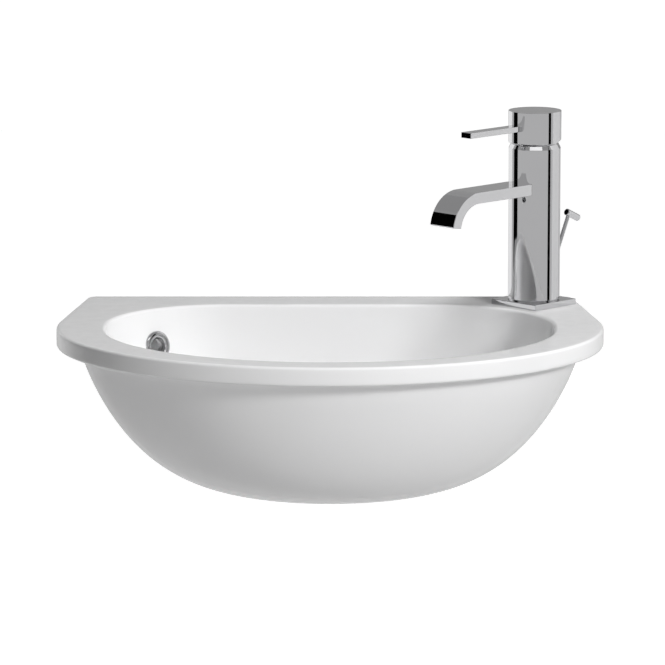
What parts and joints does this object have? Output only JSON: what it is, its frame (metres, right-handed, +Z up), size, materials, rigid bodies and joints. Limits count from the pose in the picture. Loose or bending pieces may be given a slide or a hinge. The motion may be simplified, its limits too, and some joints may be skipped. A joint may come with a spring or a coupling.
{
  "type": "semi-recessed washbasin with mixer tap",
  "caption": "Oval-fronted ceramic washbasin whose rim rests on a worktop, with a chrome lever mixer in the back right corner and a pop-up waste worked by a lift rod.",
  "frame": {"origin": "middle of the wall edge, on the rim's flat underside that rests on the worktop", "axes": "+X to the user's right, +Y towards the wall, +Z up"},
  "size_m": [0.5, 0.3735, 0.3493],
  "materials": {
    "vitreous_china": "glossy white glaze",
    "chrome_plate": "polished chrome on brass",
    "brass": "plain turned brass",
    "steel": "plain stainless steel",
    "rubber": "matt black rubber",
    "plastic": "pale moulded plastic",
    "disc_ceramic": "lapped alumina"
  },
  "bodies": {
    "basin": {"ball_gland_nut": "chrome_plate", "ball_seats": "plastic", "basin_body": "vitreous_china", "cartridge_dome": "chrome_plate", "cartridge_housing": "plastic", "cartridge_nut": "brass", "cartridge_seals": "rubber", "fixed_disc": "disc_ceramic", "flange_seal": "rubber", "flow_straightener": "plastic", "overflow_ring": "chrome_plate", "rod_guide_bush": "plastic", "shank_nut": "brass", "shank_rubber_washer": "rubber", "shank_steel_washer": "steel", "spout": "chrome_plate", "spout_grub_screw": "steel", "spout_seal": "rubber", "tap_base_plate": "chrome_plate", "tap_base_seal": "rubber", "tap_body": "chrome_plate", "tap_shank": "brass", "waste_back_nut": "brass", "waste_flange": "chrome_plate", "waste_tail": "chrome_plate", "waste_washer": "rubber"},
    "mixer_rotor": {"cartridge_rotor": "plastic", "spindle_pin": "steel"},
    "mixing_disc": {"moving_disc": "disc_ceramic"},
    "mixer_lever": {"spindle": "brass", "lever_head": "chrome_plate", "lever_bar": "chrome_plate", "lever_grub_screw": "steel"},
    "lift_rod": {"lift_rod": "chrome_plate", "lift_knob": "chrome_plate", "rod_clamp": "brass", "clamp_screw": "steel"},
    "ball_lever": {"ball_lever": "steel"},
    "pop_up_plug": {"plug_cap": "chrome_plate", "plug_seal": "rubber", "plug_stem": "plastic"}
  },
  "joints": [
    {"name": "mixer_turn", "type": "hinge", "parent": "basin", "child": "mixer_rotor", "pos_m": [0.1906, -0.0455, 0.1566], "axis": [0, 0, 1], "range_deg": [-45, 45]},
    {"name": "lever_lift", "type": "hinge", "parent": "mixer_rotor", "child": "mixer_lever", "pos_m": [0.1906, -0.0455, 0.1566], "axis": [-0.7071, 0.7071, 0], "range_deg": [0, 20]},
    {"name": "disc_slide", "type": "slide", "parent": "mixer_rotor", "child": "mixing_disc", "axis": [-0.7071, -0.7071, 0], "range_m": [0, 0.003]},
    {"name": "rod_push", "type": "slide", "parent": "basin", "child": "lift_rod", "axis": [-0.3, -0.3, -0.9056], "range_m": [0, 0.03]},
    {"name": "ball_lever_swing", "type": "hinge", "parent": "basin", "child": "ball_lever", "pos_m": [0.0224, -0.1314, -0.1336], "axis": [-0.3585, 0.9335, 0], "range_deg": [0, 10.9]},
    {"name": "plug_lift", "type": "slide", "parent": "basin", "child": "pop_up_plug", "axis": [0, 0, 1], "range_m": [0, 0.0047]}
  ],
  "couplings": [
    {"joint": "disc_slide", "follows": "lever_lift", "m_per_rad": 0.008525},
    {"joint": "ball_lever_swing", "follows": "rod_push", "rad_per_m": 6.325},
    {"joint": "plug_lift", "follows": "rod_push", "ratio": 0.15313}
  ]
}
